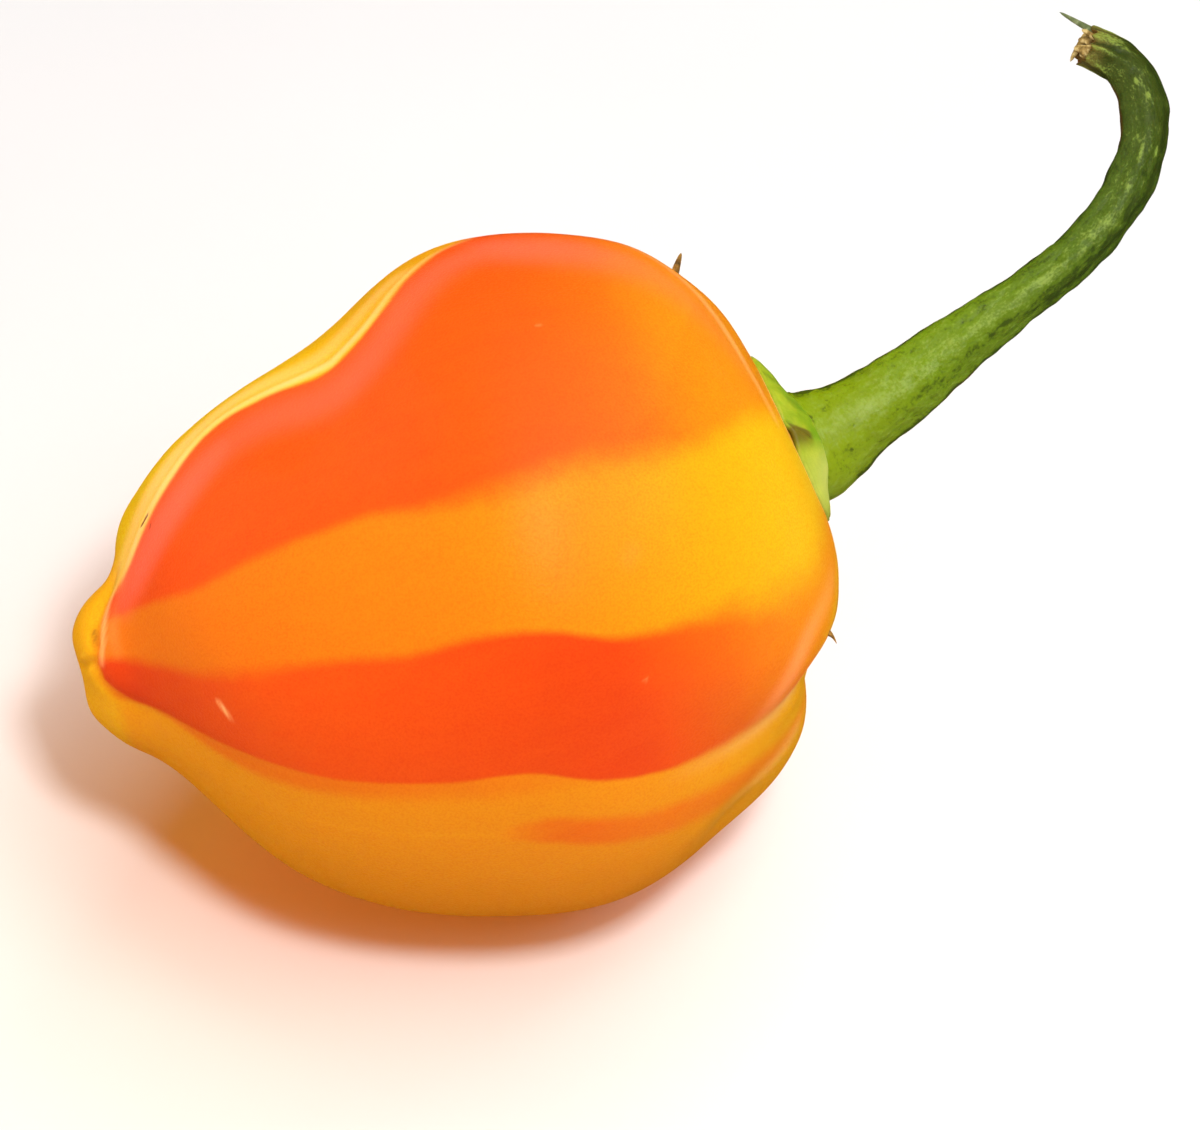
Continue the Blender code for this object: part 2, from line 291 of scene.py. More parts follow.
STEM_RELIEF_START = (0.6, 2.0)
PITS = 90  # small pits scattered over the stem
PIT_SEED = 7
PIT_ENDS = (1, 2)  # how far the first and the last pit keep from the stem's ends
PIT_WIDTH = (0.12, 0.14)  # least, and how much more at most
PIT_DEPTH = (0.02, 0.05)
END_RIBS = 7  # at the torn end
END_RIB_HEIGHT = 0.15
END_RIB_LENGTH = 4.5
# The torn end's rib crests are painted paler and their grooves darker: partly the fibres' own colour, partly
# painted highlight and shade
END_RIB_TONE = 1.5
END_CUT = (0.9, -0.4)  # how much the torn end falls short at the front and at the back
END_CUT_LENGTH = 2.5  # over which the surface is drawn back for it
END_RAGGED = 0.35
END_BROWN = (0.5, 0.4)  # the brown edge: its length and strength
END_HOLLOW = 0.5
END_RINGS = ((0.92, 0.1), (0.82, 0.5), (0.5, 1.0), (0.2, 0.85))  # in the hollow: share of reach, of depth
END_BUMPS = (0.5, 0.12)  # size and height

# Marks on the stem. Places are a distance along it and a turn from its front towards its lower side. A tone
# above 0 is pale, and one below 0 is dark. Some pale spots are painted highlights, and the dark streaks
# along both sides are painted shade
# Streaks: first and last distance, turn at each, half-width in degrees, tone, patchiness
STEM_STREAKS = (
    (4, 27, 0, 4, 22, 0.5, 0.4),
    (8, 29, 26, 30, 10, -0.9, 1.0),
    (18, 38, 50, 58, 12, -1.6, 0.8),
    (18, 36, -48, -62, 16, -0.45, 0.5),
    (2, 30, 72, 78, 10, 0.25, 0.6),
    (0, 14, -18, -12, 22, 0.25, 0.4),
    # Painted shade: dark streaks along both sides of the stem, where its outline falls
    (0, 32, -82, -84, 10, -2.0, 0.5),
    (2, 38, 82, 84, 10, -2.0, 0.5),
)
# Spots: distance, turn, length, width, tone
STEM_SPOTS = (
    (2.9, 27, 0.35, 0.3, -1.0),
    (1.1, -27, 0.6, 0.35, -1.2),
    (2.6, -33, 0.25, 0.2, -0.8),
    (3.6, -30, 1.0, 0.15, -0.5),
    (5.0, -8, 1.2, 0.5, 0.8),
    (1.8, -8, 1.2, 0.4, 0.5),
    (7.2, 25, 0.3, 0.6, -0.7),
    (8.3, -20, 0.5, 0.3, -0.5),
    (12.8, -35, 0.5, 0.3, -0.7),
    (15.3, -30, 0.4, 0.3, -0.7),
    (19.5, -5, 1.0, 0.25, 0.6),
    (23.5, 20, 0.5, 0.3, -0.6),
    # Painted highlights: the next four small, strong pale spots
    (31.0, 35, 0.3, 0.16, 2.5),
    (30.5, -5, 0.5, 0.14, 1.2),
    (34.6, 12, 0.25, 0.14, 2.5),
    (35.8, -5, 0.25, 0.14, 1.5),
    (28.0, 0, 0.3, 0.3, 1.0),
    (29.3, 20, 0.2, 0.2, -1.2),
    (26.5, 35, 0.25, 0.2, -1.2),
    (32.8, -10, 0.2, 0.2, -1.0),
    (33.0, 30, 0.4, 0.3, -0.7),
)
# Brown edges: first and last distance, turn, half-width in degrees, strength
BROWN_EDGES = ((31, 37.5, -80, 14, 0.9), (9, 13, 84, 7, 0.8), (17, 21, -86, 6, 0.5))
# The stem's patterns lie on a cylinder: its radius, and its length for each mm of stem
FIBRE_RADIUS = 2.2
FIBRE_STEP = 0.5
PATCH_SCALE = 2.3
PATCH_CONTRAST = 0.9

# Fibres in the torn end: place across it to the front and to its outer side, depth of the foot, lean to
# those two sides, length, width
FIBRES = (
    (0.55, -0.1, 0.4, 0.3, -0.5, 0.95, 0.8),
    (0.2, 0.3, 0.5, 0.1, -0.1, 0.7, 0.3),
    (-0.4, -0.1, 0.4, 0.0, -0.2, 1.0, 0.6),
    (-0.3, 0.6, 0.4, 0.0, -0.3, 1.0, 0.5),
    (0.5, 0.75, 0.4, 0.2, 0.0, 0.6, 0.4),
    (0.0, -0.6, 0.4, 0.0, 0.1, 0.6, 0.5),
    (-0.75, 0.95, 0.0, 0.1, -4.0, 1.4, 0.4),
    (-0.9, 0.4, -0.1, 0.0, -4.0, 0.7, 0.22),
    (0.1, 0.85, 0.3, 0.1, 0.1, 1.0, 0.35),
)
SPIKE = (0.1, 1.08, 0.6, 0.0, 0.13, 3.2, 0.5)
BLADE_RINGS = 14
BLADE_SIDES = 12
BLADE_TIP = 0.01  # half-width at the very end
BLADE_BEND = 0.15  # of a fibre or the spike, as a share of its lean
# Thickness as a share of the width, and how blunt the end is
FIBRE_SHAPE = (0.7, 4)
SPIKE_SHAPE = (0.5, 1.2)
SPINE_SHAPE = (0.9, 1.2)
SPINE_SINK = 0.15

# Dry spines on the skin: distance from the tip and angle of the foot, way it points, length, width, hook
SPINES = (
    ((45.2, 6), (0.5, 0.85, 0.1), 1.35, 0.62, (0.1, 0.1, 0.0)),
    ((48.6, 153), (0.96, -0.26, 0.1), 0.66, 0.56, (-0.3, -1.1, 0.0)),
)

# Colours, from 0 to 255 as they are seen. In a ramp each has its place before it
GROUND_COLOURS = ((0.0, (204, 160, 12)), (0.5, (202, 125, 12)), (1.0, (200, 97, 12)))
BAND_COLOURS = ((0.0, (204, 126, 12)), (0.45, (202, 88, 12)), (0.8, (200, 67, 12)), (1.0, (188, 50, 12)))
SKIN_GRAIN = (225, 90, 20)
# Colour of the painted pink highlights
SKIN_PINK_HIGHLIGHT = (235, 96, 74)
# For the pale skin and the painted pale highlights
SKIN_PALE_AND_HIGHLIGHT = (240, 176, 104)
SKIN_BROWN = (90, 45, 20)
CALYX_COLOURS = ((0.15, (96, 126, 18)), (0.45, (126, 144, 24)), (0.7, (148, 156, 34)))
CALYX_PALE = (176, 176, 84)
# Painted shade in the calyx's folds and under the bite
CALYX_FOLD_SHADE = (84, 66, 14)
STEM_COLOURS = (
    (0.0, (114, 132, 4)), (0.25, (92, 114, 8)), (0.55, (66, 85, 11)),
    (0.75, (54, 68, 14)), (0.94, (48, 57, 13)), (1.0, (92, 84, 34)),
)
# For pale marks and painted highlights on the stem
STEM_PALE_AND_HIGHLIGHT = (126, 144, 58)
# For dark marks and painted shade on the stem
STEM_DARK_AND_SHADE = (32, 42, 8)
STEM_BROWN = (76, 50, 14)
FIBRE_COLOURS = ((0.3, (50, 36, 12)), (0.5, (130, 104, 50)), (0.68, (200, 178, 120)))
SPIKE_COLOURS = ((0.3, (60, 68, 34)), (0.5, (84, 92, 54)), (0.68, (122, 128, 92)))
SPINE_COLOURS = ((0.3, (70, 50, 14)), (0.5, (118, 84, 26)), (0.68, (160, 120, 50)))
FLOOR_GREYS = ((0.3, (0.86, 0.86, 0.86, 1)), (0.7, (0.88, 0.88, 0.88, 1)))  # as shares of light

# Camera
CAMERA_AZIMUTH = -13
CAMERA_ELEVATION = 50
CAMERA_DISTANCE = 0.5
FRAME_WIDTH = 0.08  # what the camera takes in at its target
SENSOR = 36.0
TARGET_FROM_TIP = (1.2, 34.0, 5.0)  # along the pod, then to the right and up in the view

# Studio
FLOOR_SIZE = 2.0
FLOOR_DROP = 0.00005
WORLD_STRENGTH = 0.05
# Lamps: name, place in metres, side, power, what it lights and what shades it
LAMPS = (
    ("key", (0.04, -0.26, 0.54), 0.08, 1.9, "all", "pod"),
    ("wide_key", (0.16, -0.2, 0.54), 0.35, 1.4, "all", "pod"),
    ("fill", (0.25, 0.2, 0.65), 0.6, 2.8, "all", "all"),
    ("left", (-0.46, -0.26, 0.16), 0.5, 2.0, "pepper", "all"),
    ("low_left", (-0.48, 0.08, 0.1), 0.4, 0.7, "pepper", "all"),
    ("back_left", (-0.4, 0.35, 0.35), 0.5, 2.2, "pepper", "all"),
    ("right", (0.42, -0.38, 0.08), 0.4, 2.2, "pepper", "all"),
)
GLOW_COLOUR = (1.0, 0.33, 0.01)
GLOW_POWER = 0.05
GLOW_SIZE = 0.01
GLOW_PLACE = (-0.028, -0.008, 0.055)  # from the middle of the fruit's foot


def to_row(points):
    """Points of the pod's frame in mm, as an array, in the row frame in metres."""
    return (np.asarray(points) @ np.array(POD_TURN).T + np.array(POD_TIP)) * MM


def to_pod(points):
    """The other way."""
    return (np.asarray(points) / MM - np.array(POD_TIP)) @ np.array(POD_TURN)


def eased(values, start, end):
    """0 before start, 1 after end, and smooth between."""
    t = np.clip((values - start) / (end - start), 0, 1)
    return t * t * (3 - 2 * t)


def bell(away, width):
    return np.exp(-((away / width) ** 2))


def full_turn(count):
    return np.linspace(0, 2 * math.pi, count, endpoint=False)


def unit(vectors):
    return vectors / np.linalg.norm(vectors, axis=-1, keepdims=True)


def between(turn, middle):
    """Degrees from the middle, from -180 to 180."""
    return (turn - middle + 180) % 360 - 180


def knots_of(rows):
    """Places, values, steps between the places and rises over them, of rows (place, value, value...)."""
    rows = np.array(rows, float)
    knots, values = rows[:, 0], rows[:, 1:]
    steps = np.diff(knots)
    return knots, values, steps, np.diff(values, axis=0) / steps[:, None]


def curve_through(rows, at):
    """Smooth values at places, through rows of (place, value, value...): one array for each value."""
    knots, values, steps, rises = knots_of(rows)
    slopes = np.empty_like(values)
    slopes[0], slopes[-1] = rises[0], rises[-1]
    before, after = steps[:-1, None], steps[1:, None]
    slopes[1:-1] = (after * rises[:-1] + before * rises[1:]) / (before + after)
    at = np.clip(at, knots[0], knots[-1])
    i = np.clip(np.searchsorted(knots, at, side="right") - 1, 0, len(steps) - 1)
    t = ((at - knots[i]) / steps[i])[:, None]
    step = steps[i][:, None]
    found = values[i] * (1 + 2 * t) * (1 - t) ** 2 + values[i + 1] * (3 - 2 * t) * t**2
    found += step * (slopes[i] * t * (1 - t) ** 2 + slopes[i + 1] * t**2 * (t - 1))
    return found.T


def spline_through(rows, at):
    """Like curve_through, but with no sudden change of curvature: for routes."""
    knots, values, steps, rises = knots_of(rows)
    system = np.eye(len(knots))
    turns = np.zeros_like(values)
    for i in range(1, len(knots) - 1):
        system[i, i - 1:i + 2] = steps[i - 1], 2 * (steps[i - 1] + steps[i]), steps[i]
        turns[i] = 6 * (rises[i] - rises[i - 1])
    turns = np.linalg.solve(system, turns)
    i = np.clip(np.searchsorted(knots, at, side="right") - 1, 0, len(steps) - 1)
    step, past = steps[i][:, None], (at - knots[i])[:, None]
    slope = rises[i] - step * (2 * turns[i] + turns[i + 1]) / 6
    twist = (turns[i + 1] - turns[i]) / (6 * step)
    return (values[i] + past * (slope + past * (turns[i] / 2 + past * twist))).T


def bumpy(points, size):
    """Smooth noise from -1 to 1 at the points, with swells about size apart."""
    return np.array([noise.noise(Vector(point)) for point in np.asarray(points) / size])


# --- Meshes


def new_object(name, data):
    obj = bpy.data.objects.new(name, data)
    bpy.context.scene.collection.objects.link(obj)
    return obj


def painted(obj, material):
    obj.data.materials.append(material)
    return obj


def mesh_of(name, bm):
    mesh = bpy.data.meshes.new(name)
    bm.to_mesh(mesh)
    bm.free()
    return mesh


def add_values(mesh, name, values):
    """Gives each vertex a number, or three, for the material to read."""
    values = np.asarray(values, np.float32)
    kind, key = ("FLOAT", "value") if values.ndim == 1 else ("FLOAT_VECTOR", "vector")
    mesh.attributes.new(name, kind, "POINT").data.foreach_set(key, values.ravel())


def grid_object(name, grids):
    """An object through grids of points in the pod's frame (ring by point by 3), each closed at both ends.

    After each grid's points come the middles of its first and last ring.
    """
    points, faces = [], []
    for rings in grids:
        base = len(points)
        count, sides = rings.shape[:2]
        points += to_row(rings.reshape(-1, 3)).tolist()
        ring, side = np.meshgrid(np.arange(count - 1), np.arange(sides), indexing="ij")
        after = (side + 1) % sides
        here, ahead = ring * sides, (ring + 1) * sides
        corners = (here + side, here + after, ahead + after, ahead + side)
        faces += (np.stack(corners, -1).reshape(-1, 4) + base).tolist()
        for first, turn in ((base, 1), (base + (count - 1) * sides, -1)):
            middle = len(points)
            points.append(np.mean(points[first:first + sides], axis=0).tolist())
            fan = [(middle, first + (i + 1) % sides, first + i) for i in range(sides)]
            faces += [corner[::turn] for corner in fan]
    mesh = bpy.data.meshes.new(name)
    mesh.from_pydata(points, [], faces)
    mesh.shade_smooth()
    return new_object(name, mesh)


def read_vertices(mesh, key):
    found = np.empty(len(mesh.vertices) * 3, np.float32)
    mesh.vertices.foreach_get(key, found)
    return found.reshape(-1, 3).astype(float)


def tree_of(mesh):
    """The mesh as a tree to cast rays at, in the pod's frame."""
    points = to_pod(read_vertices(mesh, "co")).tolist()
    return BVHTree.FromPolygons(points, [face.vertices[:] for face in mesh.polygons])


# --- The pod's skin


def cad_surface():
    """The CAD fruit with its facets rounded off, as a tree in the pod's frame."""
    bm = bmesh.new()
    bm.from_mesh(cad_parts["fruit"].data)
    bmesh.ops.remove_doubles(bm, verts=bm.verts, dist=WELD * MM)
    bend, shape = FACET_ANGLES
    bmesh.ops.join_triangles(bm, faces=bm.faces, angle_face_threshold=bend, angle_shape_threshold=shape)
    mesh = mesh_of("rounded", bm)
    rounded = new_object("rounded", mesh)
    rounded.modifiers.new("Round", "SUBSURF").levels = CAD_SUBDIVISIONS
    evaluated = rounded.evaluated_get(bpy.context.evaluated_depsgraph_get())
    tree = tree_of(evaluated.to_mesh())
    evaluated.to_mesh_clear()
    bpy.data.objects.remove(rounded)
    bpy.data.meshes.remove(mesh)
    return tree


def on_surface(tree, distance, angle):
    """The point of the surface straight out from the pod's axis."""
    turn = math.radians(angle)
    out = Vector((0, math.cos(turn), math.sin(turn)))
    return np.array(tree.ray_cast(Vector((distance, 0, 0)), out)[0])


def blown_up_cube(tree):
    """A cube cut into even cells and thrown out onto the surface, with its cells gathered at the tip."""
    bm = bmesh.new()
    bmesh.ops.create_cube(bm, size=2)
    bmesh.ops.subdivide_edges(bm, edges=bm.edges, cuts=SKIN_CELLS - 1, use_grid_fill=True)
    share, width = TIP_GATHER
    centre = Vector(SKIN_CENTRE)
    for vertex in bm.verts:
        way = Vector(math.tan(c * math.pi / 4) for c in vertex.co).normalized()
        from_tip = math.acos(max(-1, min(1, -way.x)))
        gathered = from_tip * (1 - share * math.exp(-((from_tip / width) ** 2)))
        side = Vector((0, way.y, way.z)).normalized()
        way = Vector((-math.cos(gathered), 0, 0)) + math.sin(gathered) * side
        vertex.co = tree.ray_cast(centre, way)[0]
    axes = {f"use_axis_{axis}": True for axis in "xyz"}
    for _ in range(SKIN_SMOOTHINGS):
        bmesh.ops.smooth_vert(bm, verts=bm.verts, factor=0.5, **axes)
    bmesh.ops.recalc_face_normals(bm, faces=bm.faces)
    return mesh_of("skin", bm)


def path_on(tree, knots):
    """A path on the surface through knots of (distance, angle, value): its points and values."""
    rows = [(*on_surface(tree, distance, angle), value) for distance, angle, value in knots]
    steps = np.arange(len(rows), dtype=float)
    fine = np.linspace(0, steps[-1], len(rows) * 4)
    found = curve_through(np.column_stack([steps, rows]), fine)
    return found[:3].T, found[3]


def near_path(points, path, values):
    """Each point's distance to the path, and the path's value there."""
    best = np.full(len(points), np.inf)
    value = np.zeros(len(points))
    for a, b, at_a, at_b in zip(path, path[1:], values, values[1:]):
        along = b - a
        t = np.clip((points - a) @ along / (along @ along), 0, 1)
        away = np.linalg.norm(points - a - t[:, None] * along, axis=1)
        nearer = away < best
        best[nearer] = away[nearer]
        value[nearer] = (at_a + t * (at_b - at_a))[nearer]
    return best, value


def crease(points, tree, knots, width):
    """How far a crease with swollen lips moves the skin outwards."""
    away, depth = near_path(points, *path_on(tree, knots))
    lips = LIP_SHARE * bell(away - LIP_PLACE * width, LIP_WIDTH * width)
    return depth * (lips - bell(away, width))


def relief(points, tree):
    """How far the skin stands out from the CAD surface at each point."""
    height = sum(crease(points, tree, knots, width) for width, *knots in CREASES)
    away, rise = near_path(points, *path_on(tree, RIDGE))
    height += rise * bell(away, RIDGE_WIDTH)
    for middle, width, rise in SWELLINGS:
        height += rise * bell(np.linalg.norm(points - np.array(middle), axis=1), width)
    height += sum(rise * bumpy(points, size) for size, rise in SKIN_BUMPS)
    return height - MARK_DEPTH * drawn(points, tree, BROWN_MARKS)


def drawn(points, tree, lines):
    """How strongly any of the lines marks each point."""
    found = np.zeros(len(points))
    for width, *knots in lines:
        away, strength = near_path(points, *path_on(tree, knots))
        found = np.maximum(found, strength * bell(away, width))
    return found


def angles_of(points):
    return np.degrees(np.arctan2(points[:, 2], points[:, 1]))


def band_values(points):
    """How far inside a red band each point is, and how red that band is there.

    How far is a share of the band's soft edge: 1 well in, -1 well out.
    """
    per_degree = np.hypot(points[:, 1], points[:, 2]) * math.pi / 180
    inside = np.full(len(points), -3.0)
    red = np.zeros(len(points))
    for rows in BANDS:
        first, first_soft, last, last_soft, redness = curve_through(rows, points[:, 0])
        past_middle = between(angles_of(points), (first + last) / 2)
        half = (last - first) / 2
        from_first = (past_middle + half) * per_degree / first_soft
        from_last = (half - past_middle) * per_degree / last_soft
        here = np.minimum(from_first, from_last)
        better = here > inside
        inside[better] = here[better]
        red[better] = redness[better]
    return np.clip(np.minimum(inside, past_blossom_end(points)), -3, 3), red


def past_blossom_end(points):
    """How far past the edge of the blossom end each point is, as a share of that edge's softness."""
    angles, starts = np.array(BLOSSOM_END, float).T
    return (points[:, 0] - np.interp(angles_of(points), angles, starts)) / BLOSSOM_EDGE


def ground_values(points):
    """How orange the ground between the bands is."""
    on_front, on_lower, elsewhere = curve_through(GROUND, points[:, 0])
    angle = angles_of(points) % 360
    first, last, end = LOBES
    into_front, into_lower, out_of_lower = LOBE_BLENDS
    below = eased(angle, last, last + into_lower)
    front = eased(angle, first - into_front, first) * (1 - below)
    lower = below * (1 - eased(angle, end, end + out_of_lower))
    ground = elsewhere + front * (on_front - elsewhere) + lower * (on_lower - elsewhere)
    body = eased(past_blossom_end(points), *BLOSSOM_BLEND)
    return BLOSSOM_GROUND + body * (ground - BLOSSOM_GROUND)


def near_calyx(points, tree):
    """How strongly the pale rim round the calyx marks each point."""
    share, width, strength = PEACH_RIM
    rim = calyx_rim(tree, share, 0)
    away = near_path(points, np.concatenate([rim, rim[:1]]), np.zeros(len(rim) + 1))[0]
    return strength * bell(away, width)


def make_skin(tree):
    mesh = blown_up_cube(tree)
    points = read_vertices(mesh, "co")
    points += read_vertices(mesh, "normal") * relief(points, tree)[:, None]
    row = to_row(points)
    row[:, 2] = np.maximum(row[:, 2], 0)
    mesh.vertices.foreach_set("co", row.astype(np.float32).ravel())
    mesh.update()
    mesh.shade_smooth()
    inside, red = band_values(points)
    add_values(mesh, "pod", points)
    add_values(mesh, "inside", inside)
    add_values(mesh, "red", red)
    add_values(mesh, "ground", ground_values(points))
    brown, pale_and_highlight, pink_highlight = (drawn(points, tree, lines) for lines in (BROWN_MARKS, PALE_MARKS_AND_HIGHLIGHTS, PINK_HIGHLIGHTS))
    pale_and_highlight = np.maximum(pale_and_highlight, near_calyx(points, tree))
    add_values(mesh, "marks_and_highlights", np.column_stack([brown, pale_and_highlight, pink_highlight]))
    return new_object("skin", mesh)


# --- Calyx and stem


def calyx_rim(tree, share, lift):
    """A ring at a share of the rim's reach, lifted off the skin."""
    ring = []
    to_upper, to_front = CALYX_REACH
    for turn in full_turn(CALYX_SIDES):
        reach = share * (1 + CALYX_LOBE_SHARE * math.cos(CALYX_LOBES * turn))
        out = Vector((0, to_upper * math.cos(turn), to_front * math.sin(turn)))
        place = Vector(CALYX_MIDDLE) + reach * out
        hit, normal = tree.ray_cast(place + Vector((10, 0, 0)), Vector((-1, 0, 0)))[:2]
        ring.append(hit + lift * normal)
    return np.array(ring)


def calyx_top(share, drop):
    """A ring round the stem, at a share of the top's reach."""
    turn = full_turn(CALYX_SIDES)
    mean, cosine, sine, double = CALYX_TOP
    height = mean + cosine * np.cos(turn) + sine * np.sin(turn) + double * np.cos(2 * turn) - drop
    widest, taper = CALYX_TOP_REACH
    reach = share * (widest - taper * (height - height[0]))
    return np.column_stack([height, CALYX_TOP_MIDDLE + reach * np.cos(turn), reach * np.sin(turn)])


def calyx_rings(skin_tree, turn, foot, top):
    """The calyx's rings, each one's place on the rise, and how deep the folds are at its points, which sets
    their painted shade.
    """
    rings = [calyx_rim(skin_tree, share, lift) for share, lift, _ in CALYX_RIM_RINGS]
    rise = [place for _, _, place in CALYX_RIM_RINGS]
    fold_shade = [np.zeros(CALYX_SIDES)] * len(rings)
    for t in np.linspace(0, 1, CALYX_RISE_RINGS):
        depth = np.zeros(CALYX_SIDES)
        for at_rim, at_top, end, width, deep in CALYX_FOLDS:
            strength = deep * (1 - float(eased(t, end - CALYX_FOLD_FADE, end)))
            depth += strength * bell(between(turn, at_rim + t * (at_top - at_rim)), width)
        ring = foot + t * (top - foot)
        ring[:, 0] += CALYX_BULGE * math.sin(math.pi * t**0.7) - depth
        rings.append(ring)
        rise.append(t)
        fold_shade.append(depth)
    for share, drop in CALYX_TOP_RINGS:
        rings.append(calyx_top(share, drop))
        rise.append(1.0)
        fold_shade.append(np.zeros(CALYX_SIDES))
    return np.array(rings), np.array(rise)[:, None], np.array(fold_shade)


def calyx_bite(turn, rise):
    """How far the bite reaches at each point, as a share of its height."""
    start, peak, end = CALYX_BITE
    return (1 - eased(rise, 0.1, 0.9)) * (eased(turn, start, peak) * (1 - eased(turn, peak, end)))


def make_calyx(skin_tree):
    turn = np.degrees(full_turn(CALYX_SIDES))
    foot = calyx_rim(skin_tree, *CALYX_FOOT)
    top = calyx_top(1.0, 0.0)
    rings, rise, fold_shade = calyx_rings(skin_tree, turn, foot, top)
    bite = calyx_bite(turn, rise)
    rings += CALYX_BITE_HEIGHT * bite[:, :, None] * unit(top - foot)
    size, height = CALYX_BUMPS
    rings[:, :, 0] += height * bumpy(rings.reshape(-1, 3), size).reshape(bite.shape)
    cup = grid_object("calyx_cup", [rings])
    middle, width = CALYX_PALER
    paler = bell(between(turn, middle), width) * (0.6 + 0.4 * rise)
    looks = np.stack([np.broadcast_to(rise, bite.shape), fold_shade + CALYX_BITE_SHADE * bite, paler], -1)
    add_values(cup.data, "looks", np.concatenate([looks.reshape(-1, 3), [[0, 0, 0], [1, 0, 0]]]))
    return cup


def route_rings(route, count):
    """Even steps along a smooth route of (x, y, z, radius).

    At each: the place, the ways forward, to the front and to the lower side, the radius and the distance.
    """
    route = np.array(route)
    steps = np.concatenate([[0], np.cumsum(np.linalg.norm(np.diff(route[:, :3], axis=0), axis=1))])
    found = spline_through(np.column_stack([steps, route]), np.linspace(0, steps[-1], ROUTE_SAMPLES))
    path, radius = found[:3].T, found[3]
    length = np.concatenate([[0], np.cumsum(np.linalg.norm(np.diff(path, axis=0), axis=1))])
    at = np.linspace(0, length[-1], count)
    path = np.column_stack([np.interp(at, length, path[:, i]) for i in range(3)])
    radius = np.interp(at, length, radius)
    forward = unit(np.gradient(path, axis=0))
    front = unit(np.array((0, 0, 1.0)) - forward[:, 2:] * forward)
    return path, forward, front, np.cross(forward, front), radius, at


def stem_tone(at, turn, radius, patches):
    """How pale (above 0) or dark (below 0) the stem is, painted highlights and shade included."""
    tone = np.zeros(at.shape)
    for first, last, turn_a, turn_b, width, strength, patchy in STEM_STREAKS:
        share = np.clip((at - first) / (last - first), 0, 1)
        middle = turn_a + share * (turn_b - turn_a)
        ends = eased(at, first - 1, first + 2) * (1 - eased(at, last - 2, last + 1))
        tone += strength * ends * bell(between(turn, middle), width) * (1 - patchy + 2 * patchy * patches)
    for place, middle, length, width, strength in STEM_SPOTS:
        aside = np.radians(between(turn, middle)) * radius
        tone += strength * np.exp(-(((at - place) / length) ** 2) - (aside / width) ** 2)
    return tone


def stem_brown(at, turn):
    brown = np.zeros(at.shape)
    for first, last, middle, width, strength in BROWN_EDGES:
        ends = eased(at, first - 1, first + 1) * (1 - eased(at, last - 1, last + 1))
        brown = np.maximum(brown, strength * ends * bell(between(turn, middle), width))
    return brown


def stem_frame():
    tilt = math.radians(STEM_TILT)
    start = np.array(STEM_START) + STEM_LIFT * np.array((math.cos(tilt), math.sin(tilt), 0))
    route = [(*(start + np.array(row[:3])), row[3]) for row in STEM_ROUTE]
    return route_rings(route, STEM_RINGS)


def end_cut(share):
    """How far the slanting torn end falls short, at a place from -1 at the back to 1 at the front."""
    front, back = END_CUT
    return (front + back) / 2 + (front - back) / 2 * share


def noise_round(turns, reach, height):
    """Noise round the stem: the longer the reach, the busier."""
    return np.array([noise.noise(Vector((reach * math.cos(a), reach * math.sin(a), height))) for a in turns])


def end_ribs(turns):
    """The uneven ribs round the torn end, about -1 to 1."""
    uneven = noise_round(turns, 1.3, 2)
    return np.cos(END_RIBS * turns + 3 * uneven) * (0.8 + uneven)


def stem_relief(rings, at, angle, radius):
    """How far knobs, pits and the torn end's ribs move each point outwards."""
    length = at[-1, 0]
    flat = rings.reshape(-1, 3)
    relief = sum(height * bumpy(flat, size) for size, height in STEM_KNOBS).reshape(at.shape)
    relief += END_RIB_HEIGHT * eased(at, length - END_RIB_LENGTH, length) * end_ribs(angle[0])
    from_start, from_end = PIT_ENDS
    numbers = random.Random(PIT_SEED)
    for _ in range(PITS):
        where, way, size, depth = (numbers.random() for _ in range(4))
        place = from_start + where * (length - from_start - from_end)
        aside = np.radians(between(np.degrees(angle), 360 * way)) * radius
        away = ((at - place) ** 2 / 2 + aside**2) / (PIT_WIDTH[0] + PIT_WIDTH[1] * size) ** 2
        relief -= (PIT_DEPTH[0] + PIT_DEPTH[1] * depth) * np.exp(-away)
    return relief * eased(at, *STEM_RELIEF_START)


def stem_rings():
    """The rings up to the torn edge, and each point's distance, angle and radius of the route."""
    path, forward, front, below, radius, at = stem_frame()
    length = at[-1]
    turns = full_turn(STEM_SIDES)
    out = np.cos(turns)[:, None] * front[:, None] + np.sin(turns)[:, None] * below[:, None]
    at, angle = np.meshgrid(at, turns, indexing="ij")
    radius = radius[:, None] * np.ones(STEM_SIDES)
    swell = np.ones(at.shape)
    for count, height, first in STEM_RIBS:
        ribs = np.cos(count * (angle - math.radians(first)) + at * STEM_RIB_TWIST)
        swell += height * eased(at, *STEM_RIB_START) * ribs
    rings = path[:, None] + out * (radius * swell)[:, :, None]
    rings += out * stem_relief(rings, at, angle, radius)[:, :, None]
    cut = END_RAGGED * noise_round(turns, 3, 5) - end_cut(np.cos(turns))
    rings += (cut * eased(at, length - END_CUT_LENGTH, length))[:, :, None] * forward[-1]
    return rings, at, angle, radius


def end_rings(edge, middle, forward):
    """Rings from the torn edge into the hollow behind it."""
    size, height = END_BUMPS
    rings = []
    for share, drop in END_RINGS:
        ring = middle + share * (edge - middle) - drop * END_HOLLOW * forward
        rings.append(ring + height * bumpy(ring, size)[:, None] * forward)
    return rings


